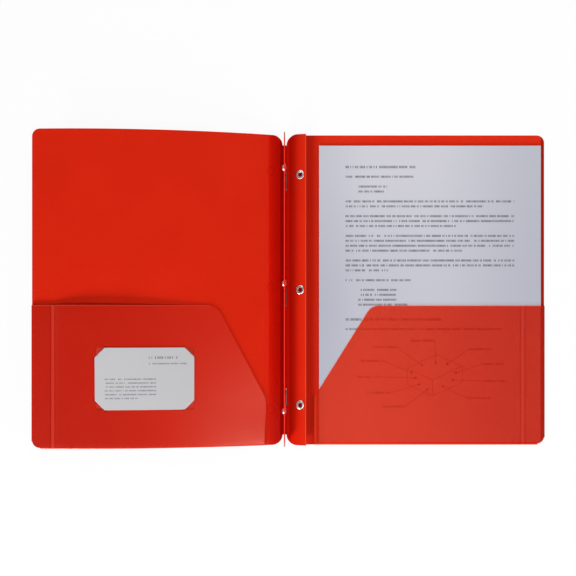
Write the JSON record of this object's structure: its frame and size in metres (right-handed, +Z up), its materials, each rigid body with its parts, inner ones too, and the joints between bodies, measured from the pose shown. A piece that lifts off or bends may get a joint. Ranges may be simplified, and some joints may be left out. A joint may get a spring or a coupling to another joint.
{
  "type": "two pocket folder",
  "caption": "Two pocket folder of bent plastic sheet, lying open, with a pocket on each cover and metal prong fasteners on a leaf at the spine.",
  "frame": {"origin": "on the table, under the middle of the open folder's bounding box", "axes": "+X from the front cover to the back cover, +Y up the page, +Z up from the table"},
  "size_m": [0.4754, 0.292, 0.0207],
  "materials": {
    "red_poly": "fine matte grain",
    "paper": "plain",
    "card": "plain",
    "steel": "bright plated"
  },
  "bodies": {
    "back": {"back_cover": "red_poly", "right_pocket": "red_poly", "right_pocket_tab": "red_poly"},
    "spine": {"spine_panel": "red_poly", "prong_leaf": "red_poly", "flap_foot": "red_poly", "prong_rivet_top": "steel", "prong_base_top": "steel", "prong_rivet_middle": "steel", "prong_base_middle": "steel", "prong_rivet_bottom": "steel", "prong_base_bottom": "steel"},
    "front": {"front_cover": "red_poly", "left_pocket": "red_poly", "left_pocket_tab": "red_poly", "name_card": "card"},
    "flap": {"eyelet_flap": "red_poly", "flap_eyelet_top": "steel", "flap_eyelet_middle": "steel", "flap_eyelet_bottom": "steel"},
    "sheet": {"insert_sheet": "paper"},
    "prongs_top": {"inner_tang_top": "steel", "outer_tang_top": "steel"},
    "prongs_middle": {"inner_tang_middle": "steel", "outer_tang_middle": "steel"},
    "prongs_bottom": {"inner_tang_bottom": "steel", "outer_tang_bottom": "steel"}
  },
  "joints": [
    {"name": "back_fold", "type": "hinge", "parent": "spine", "child": "back", "pos_m": [-0.00165, 0, 0.0006], "axis": [0, -1, 0], "range_deg": [0, 90]},
    {"name": "front_fold", "type": "hinge", "parent": "spine", "child": "front", "pos_m": [-0.01165, 0, 0.0006], "axis": [0, 1, 0], "range_deg": [0, 84]},
    {"name": "flap_fold", "type": "hinge", "parent": "spine", "child": "flap", "pos_m": [-0.00285, 0, 0.0012], "axis": [0, -1, 0], "range_deg": [0, 77]},
    {"name": "sheet_slide", "type": "slide", "parent": "back", "child": "sheet", "axis": [0, -1, 0], "range_m": [-0.16, 0]},
    {"name": "prong_lift_top", "type": "hinge", "parent": "spine", "child": "prongs_top", "pos_m": [-0.0063, 0.10762, 0.0072], "axis": [0, 0, -1], "range_deg": [-90, 0]},
    {"name": "prong_lift_middle", "type": "hinge", "parent": "spine", "child": "prongs_middle", "pos_m": [-0.0063, -0.00038, 0.0072], "axis": [0, 0, -1], "range_deg": [-90, 0]},
    {"name": "prong_lift_bottom", "type": "hinge", "parent": "spine", "child": "prongs_bottom", "pos_m": [-0.0063, -0.10762, 0.0072], "axis": [0, 0, 1], "range_deg": [-90, 0]}
  ],
  "couplings": [
    {"joint": "flap_fold", "follows": "back_fold", "ratio": 0.85555}
  ]
}
